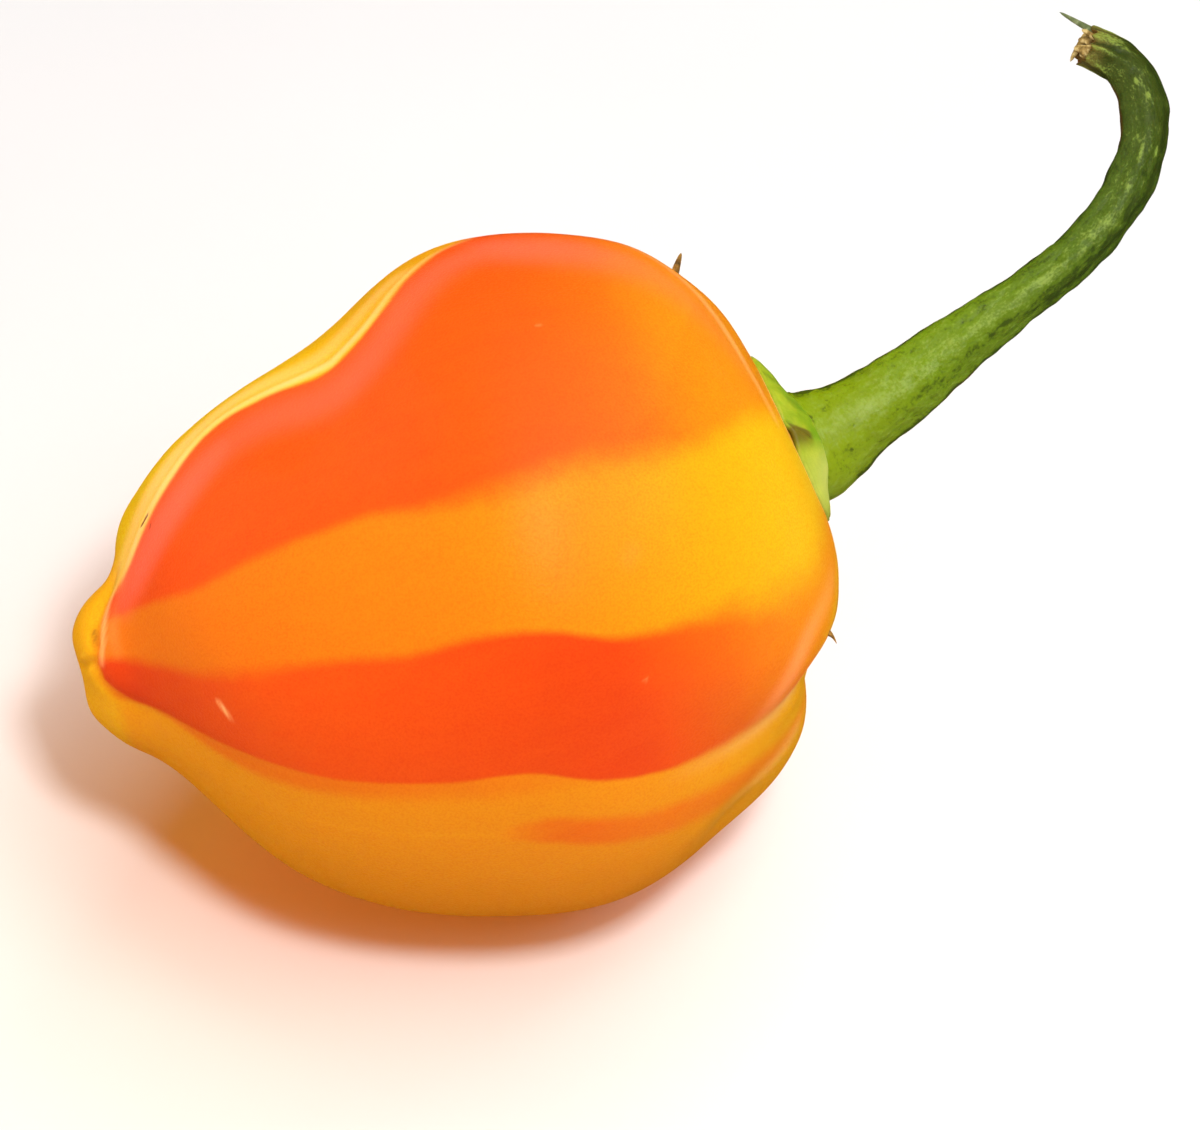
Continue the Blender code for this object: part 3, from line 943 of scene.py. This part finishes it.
def stem_looks(at, angle, radius, fibre):
    """Each point's share of the length, tone and brownness."""
    length = at[-1, 0]
    spots = [noise.noise(Vector(place) * PATCH_SCALE + Vector((0, 0, 9))) for place in fibre.reshape(-1, 3)]
    patches = np.clip(0.5 + PATCH_CONTRAST * np.array(spots), 0, 1).reshape(at.shape)
    turn = np.degrees(angle)
    tone = stem_tone(at, turn, radius, patches)
    # Rib crests paler and grooves darker, partly painted highlight and shade
    tone += END_RIB_TONE * eased(at, length - END_RIB_LENGTH, length - 1) * end_ribs(angle[0])
    reach, strength = END_BROWN
    brown = np.maximum(stem_brown(at, turn), strength * eased(at, length - reach, length))
    return np.stack([at / length, tone, brown], -1)


def make_stem():
    rings, at, angle, radius = stem_rings()
    path, forward = stem_frame()[:2]
    inner = end_rings(rings[-1], path[-1], forward[-1])
    stalk = grid_object("stalk", [np.concatenate([rings, inner])])
    fibre = np.stack([np.cos(angle) * FIBRE_RADIUS, np.sin(angle) * FIBRE_RADIUS, at * FIBRE_STEP], -1)
    looks = stem_looks(at, angle, radius, fibre)
    # The hollow in the torn end: dark brown, partly the brown of torn tissue and partly painted shade
    hollow_brown_and_shade = np.tile((1.0, -1.0, 1.0), (len(inner) * STEM_SIDES, 1))
    add_values(stalk.data, "looks", np.concatenate([looks.reshape(-1, 3), hollow_brown_and_shade, [[0, 0, 0], [1, -1, 1]]]))
    fibre = np.concatenate([fibre, np.repeat(fibre[-1:], len(inner), axis=0)]).reshape(-1, 3)
    add_values(stalk.data, "fibre", np.concatenate([fibre, [[0, 0, 0], [0, 0, at[-1, 0] * FIBRE_STEP]]]))
    return stalk


def blade(foot, way, side, length, width, bend, shape):
    """Rings of a strip that bends and tapers as it goes."""
    thickness, bluntness = shape
    way, side, bend = unit(np.array(way)), np.array(side), np.array(bend)
    across = unit(side - (side @ way) * way)
    flat = np.cross(way, across)
    angle = full_turn(BLADE_SIDES)[:, None]
    rings = []
    for t in np.linspace(0, 1, BLADE_RINGS):
        middle = foot + length * (t * way + t * t * bend)
        half = width / 2 * (1 - t**bluntness) ** 0.5 + BLADE_TIP
        rings.append(middle + half * (np.cos(angle) * across + thickness * np.sin(angle) * flat))
    return np.array(rings)


def stem_end_blade(row, shape):
    """A blade in the torn end, from its row of places and leans."""
    path, forward, front, below = stem_frame()[:4]
    forward, front, below = forward[-1], front[-1], below[-1]
    to_front, to_below, depth, lean_front, lean_below, length, width = row
    short = depth + end_cut(to_front / STEM_ROUTE[-1][3])
    foot = path[-1] + to_front * front + to_below * below - short * forward
    way = forward + lean_front * front + lean_below * below
    bend = BLADE_BEND * (lean_front * front + lean_below * below)
    return blade(foot, way, below, length, width, bend, shape)


def make_torn_fibres():
    return grid_object("torn_fibres", [stem_end_blade(row, FIBRE_SHAPE) for row in FIBRES])


def make_spike():
    return grid_object("dry_spike", [stem_end_blade(SPIKE, SPIKE_SHAPE)])


def make_spines(tree):
    grids = []
    for (distance, angle), way, length, width, hook in SPINES:
        foot = on_surface(tree, distance, angle) - SPINE_SINK * np.array(way)
        grids.append(blade(foot, way, (0, 0, 1), length, width, hook, SPINE_SHAPE))
    return grid_object("dry_spines", grids)


# --- Materials


def colour(red, green, blue):
    """A colour given from 0 to 255 as it is seen, as the shader takes it."""
    shares = [part / 255 for part in (red, green, blue)]
    return (*(share / 12.92 if share < 0.04 else ((share + 0.055) / 1.055) ** 2.4 for share in shares), 1.0)


def ramp_stops(colours):
    return [(place, colour(*shade)) for place, shade in colours]


class Paint:
    """A material and its nodes. Each call adds a node and returns what comes out of it."""

    def __init__(self, name):
        self.material = bpy.data.materials.new(name)
        self.material.use_nodes = True
        self.nodes = self.material.node_tree.nodes
        self.shader = self.nodes["Principled BSDF"]

    def join(self, source, socket):
        if isinstance(source, bpy.types.NodeSocket):
            self.material.node_tree.links.new(source, socket)
        else:
            socket.default_value = source

    def set(self, **values):
        """Sets or joins the shader's inputs, each named in lower case with underscores."""
        for name, value in values.items():
            self.join(value, self.shader.inputs[name.replace("_", " ").title().replace("Ior", "IOR")])

    def add(self, kind, inputs, **settings):
        """A new node's outputs. Its inputs are given by name or number."""
        node = self.nodes.new("ShaderNode" + kind)
        for name, value in settings.items():
            setattr(node, name, value)
        for key, source in inputs.items():
            self.join(source, node.inputs[key])
        return node.outputs

    def attribute(self, name, out="Fac"):
        return self.add("Attribute", {}, attribute_name=name)[out]

    def place(self):
        return self.add("TexCoord", {})["Object"]

    def noise(self, vector, scale, detail=2.0):
        return self.add("TexNoise", {"Vector": vector, "Scale": scale, "Detail": detail})["Fac"]

    def stretch(self, vector, scale):
        return self.add("Mapping", {"Vector": vector, "Scale": scale})["Vector"]

    def split(self, vector):
        return self.add("SeparateXYZ", {0: vector})

    def sum(self, value, factor, addend):
        """value times factor plus addend"""
        return self.add("Math", {0: value, 1: factor, 2: addend}, operation="MULTIPLY_ADD")[0]

    def ease(self, value, start, end, low=0.0, high=1.0):
        inputs = {"Value": value, "From Min": start, "From Max": end, "To Min": low, "To Max": high}
        return self.add("MapRange", inputs, interpolation_type="SMOOTHSTEP")["Result"]

    def mix(self, share, first, second, how="MIX"):
        return self.add("Mix", {0: share, 6: first, 7: second}, data_type="RGBA", blend_type=how)[2]

    def bump(self, height, distance):
        return self.add("Bump", {"Height": height, "Distance": distance})["Normal"]

    def ramp(self, value, stops):
        node = self.nodes.new("ShaderNodeValToRGB")
        self.join(value, node.inputs["Fac"])
        elements = node.color_ramp.elements
        while len(elements) < len(stops):
            elements.new(1)
        for element, (place, shade) in zip(elements, stops):
            element.position = place
            element.color = shade
        return node.outputs["Color"]


def skin_paint():
    paint = Paint("skin")
    pod = paint.attribute("pod", "Vector")
    grain = paint.noise(pod, 6.0, 3.0)
    streaks = paint.noise(paint.stretch(pod, (0.05, 0.9, 0.9)), 1.0, 3.0)
    wobble = paint.sum(paint.noise(pod, 0.6, 3.0), 1.6, -0.8)
    inside = paint.sum(wobble, 0.5, paint.attribute("inside"))
    band = paint.ease(inside, -1.0, 1.0)
    ground = paint.sum(paint.sum(streaks, 0.08, -0.04), 1.0, paint.attribute("ground"))
    base = paint.ramp(ground, ramp_stops(GROUND_COLOURS))
    redness = paint.sum(streaks, 0.1, paint.sum(paint.attribute("red"), 0.8, -0.05))
    shade = paint.mix(band, base, paint.ramp(redness, ramp_stops(BAND_COLOURS)))
    shade = paint.mix(paint.ease(grain, 0.35, 0.75, 0.0, 0.2), shade, colour(*SKIN_GRAIN), "MULTIPLY")
    brown, pale_and_highlight, pink_highlight = paint.split(paint.attribute("marks_and_highlights", "Vector"))
    # Painted highlights: pink sheen on the skin
    shade = paint.mix(paint.ease(pink_highlight, 0.1, 1.0, 0.0, 0.5), shade, colour(*SKIN_PINK_HIGHLIGHT))
    # Pale: the scar and the skin round the calyx, and painted highlights
    shade = paint.mix(paint.ease(pale_and_highlight, 0.1, 1.0, 0.0, 0.8), shade, colour(*SKIN_PALE_AND_HIGHLIGHT))
    shade = paint.mix(paint.ease(brown, 0.2, 0.8), shade, colour(*SKIN_BROWN))
    paint.set(base_color=shade, roughness=paint.ease(grain, 0.2, 0.8, 0.36, 0.46), ior=1.45)
    paint.set(subsurface_weight=0.25, subsurface_scale=0.004, subsurface_radius=(1.0, 0.4, 0.1))
    paint.set(specular_ior_level=0.08, normal=paint.bump(grain, 0.00003))
    return paint.material


def calyx_paint():
    paint = Paint("calyx")
    patches = paint.noise(paint.place(), 900.0, 4.0)
    rise, fold_shade, paler = paint.split(paint.attribute("looks", "Vector"))
    tone = paint.sum(rise, -0.3, paint.sum(patches, 0.9, 0.1))
    shade = paint.ramp(tone, ramp_stops(CALYX_COLOURS))
    shade = paint.mix(paint.ease(paler, 0.2, 0.9, 0.0, 0.7), shade, colour(*CALYX_PALE))
    # Painted shade in the folds and under the bite, darker where they are deeper
    shade = paint.mix(paint.ease(fold_shade, 0.05, 0.3, 0.0, 0.85), shade, colour(*CALYX_FOLD_SHADE))
    paint.set(base_color=shade, roughness=0.42, subsurface_weight=0.1, subsurface_scale=0.001)
    paint.set(specular_ior_level=0.3, normal=paint.bump(patches, 0.00015))
    return paint.material


def stem_paint():
    paint = Paint("stem")
    fibre = paint.attribute("fibre", "Vector")
    patches = paint.noise(paint.stretch(fibre, (1.0, 1.0, 1.4)), 1.6, 5.0)
    threads = paint.noise(paint.stretch(fibre, (3.0, 3.0, 0.8)), 1.4, 3.0)
    along, tone, brown = paint.split(paint.attribute("looks", "Vector"))
    shade = paint.ramp(along, ramp_stops(STEM_COLOURS))
    specks = paint.noise(paint.stretch(fibre, (1.0, 1.0, 2.0)), 5.0, 3.0)
    for pattern, strength in ((patches, 3.0), (threads, 0.7), (specks, 2.8)):
        tone = paint.sum(paint.sum(pattern, 1.0, -0.5), strength, tone)
    # Pale marks, and painted highlights
    shade = paint.mix(paint.ease(tone, 0.0, 1.5, 0.0, 0.6), shade, colour(*STEM_PALE_AND_HIGHLIGHT))
    # Dark marks, and painted shade along the sides and in the torn end
    shade = paint.mix(paint.ease(tone, 0.0, -1.4, 0.0, 0.75), shade, colour(*STEM_DARK_AND_SHADE))
    shade = paint.mix(paint.ease(brown, 0.1, 0.8, 0.0, 0.8), shade, colour(*STEM_BROWN))
    paint.set(base_color=shade, roughness=paint.ease(patches, 0.3, 0.7, 0.4, 0.52))
    paint.set(specular_ior_level=0.2, subsurface_weight=0.08, subsurface_scale=0.001)
    paint.set(normal=paint.bump(patches, 0.0002))
    return paint.material


def dry_paint(name, colours):
    """Dry tissue: a torn fibre, a spike or a spine."""
    paint = Paint(name)
    streaks = paint.noise(paint.place(), 1800.0, 4.0)
    shade = paint.ramp(streaks, ramp_stops(colours))
    paint.set(base_color=shade, roughness=0.7, specular_ior_level=0.3, normal=paint.bump(streaks, 0.0001))
    return paint.material


def floor_paint():
    paint = Paint("floor")
    paint.set(base_color=paint.ramp(paint.noise(paint.place(), 30.0), FLOOR_GREYS), roughness=0.25)
    return paint.material


# --- Studio


def make_camera():
    azimuth, elevation = math.radians(CAMERA_AZIMUTH), math.radians(CAMERA_ELEVATION)
    flat = math.cos(elevation)
    back = Vector((math.sin(azimuth) * flat, -math.cos(azimuth) * flat, math.sin(elevation)))
    right = Vector((math.cos(azimuth), math.sin(azimuth), 0))
    along, across, up = TARGET_FROM_TIP
    target = POD_TIP + along * POD_AXIS + across * right + up * back.cross(right)
    data = bpy.data.cameras.new("camera")
    data.sensor_width = SENSOR
    data.lens = SENSOR * CAMERA_DISTANCE / FRAME_WIDTH
    data.clip_end = 10
    camera = new_object("camera", data)
    camera.location = target * MM + CAMERA_DISTANCE * back
    camera.rotation_euler = back.to_track_quat("Z", "Y").to_euler()
    bpy.context.scene.camera = camera


def collection(name, objects):
    found = bpy.data.collections.new(name)
    for obj in objects:
        found.objects.link(obj)
    return found


def add_softbox(name, place, side, power, lit, shading):
    """A square lamp that faces the pepper, and may light or be shaded by a collection only."""
    data = bpy.data.lights.new(name, "AREA")
    data.size = side
    data.energy = power
    lamp = new_object(name, data)
    lamp.location = place
    lamp.rotation_euler = Vector(place).to_track_quat("Z", "Y").to_euler()
    lamp.visible_glossy = name == "key"
    lamp.light_linking.receiver_collection = lit
    lamp.light_linking.blocker_collection = shading


def add_glow(floor):
    """The orange light that the pod throws on the floor round it."""
    data = bpy.data.lights.new("glow", "POINT")
    data.color = GLOW_COLOUR
    data.energy = GLOW_POWER
    data.shadow_soft_size = GLOW_SIZE
    data.use_shadow = False
    lamp = new_object("glow", data)
    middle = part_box("fruit")[0].lerp(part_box("fruit")[1], 0.5)
    lamp.location = Vector((middle.x, middle.y, 0)) + Vector(GLOW_PLACE)
    lamp.light_linking.receiver_collection = collection("glow_falls_on", [floor])


def make_floor():
    bm = bmesh.new()
    bmesh.ops.create_grid(bm, x_segments=8, y_segments=8, size=FLOOR_SIZE)
    floor = painted(new_object("floor", mesh_of("floor", bm)), floor_paint())
    floor.location.z = -FLOOR_DROP
    floor.visible_glossy = False
    return floor


def make_world():
    world = bpy.data.worlds.new("studio")
    world.use_nodes = True
    background = world.node_tree.nodes["Background"]
    background.inputs["Color"].default_value = (1, 1, 1, 1)
    background.inputs["Strength"].default_value = WORLD_STRENGTH
    world.cycles_visibility.glossy = False
    bpy.context.scene.world = world
    bpy.context.scene.view_settings.view_transform = "Standard"


def make_studio(pod, pieces):
    floor = make_floor()
    make_world()
    groups = {"all": None, "pod": collection("pod", [pod]), "pepper": collection("pepper", pieces)}
    for name, place, side, power, lit, shading in LAMPS:
        add_softbox(name, place, side, power, groups[lit], groups[shading])
    add_glow(floor)


# --- Build

surface = cad_surface()
skin = painted(make_skin(surface), skin_paint())
skin_tree = tree_of(skin.data)
cup = painted(make_calyx(skin_tree), calyx_paint())
stalk = painted(make_stem(), stem_paint())
fibres = painted(make_torn_fibres(), dry_paint("dry_fibre", FIBRE_COLOURS))
spike = painted(make_spike(), dry_paint("dry_spike", SPIKE_COLOURS))
spines = painted(make_spines(skin_tree), dry_paint("dry_spine", SPINE_COLOURS))
for piece, node, slot in ((skin, "fruit", "skin"), (cup, "calyx", "calyx"), (stalk, "stem", "stem")):
    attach(piece, ROOT)
    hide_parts(node)
for piece, slot in ((fibres, "stem"), (spike, "stem"), (spines, "skin")):
    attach(piece, ROOT)
make_studio(skin, (skin, cup, stalk, fibres, spike, spines))
make_camera()
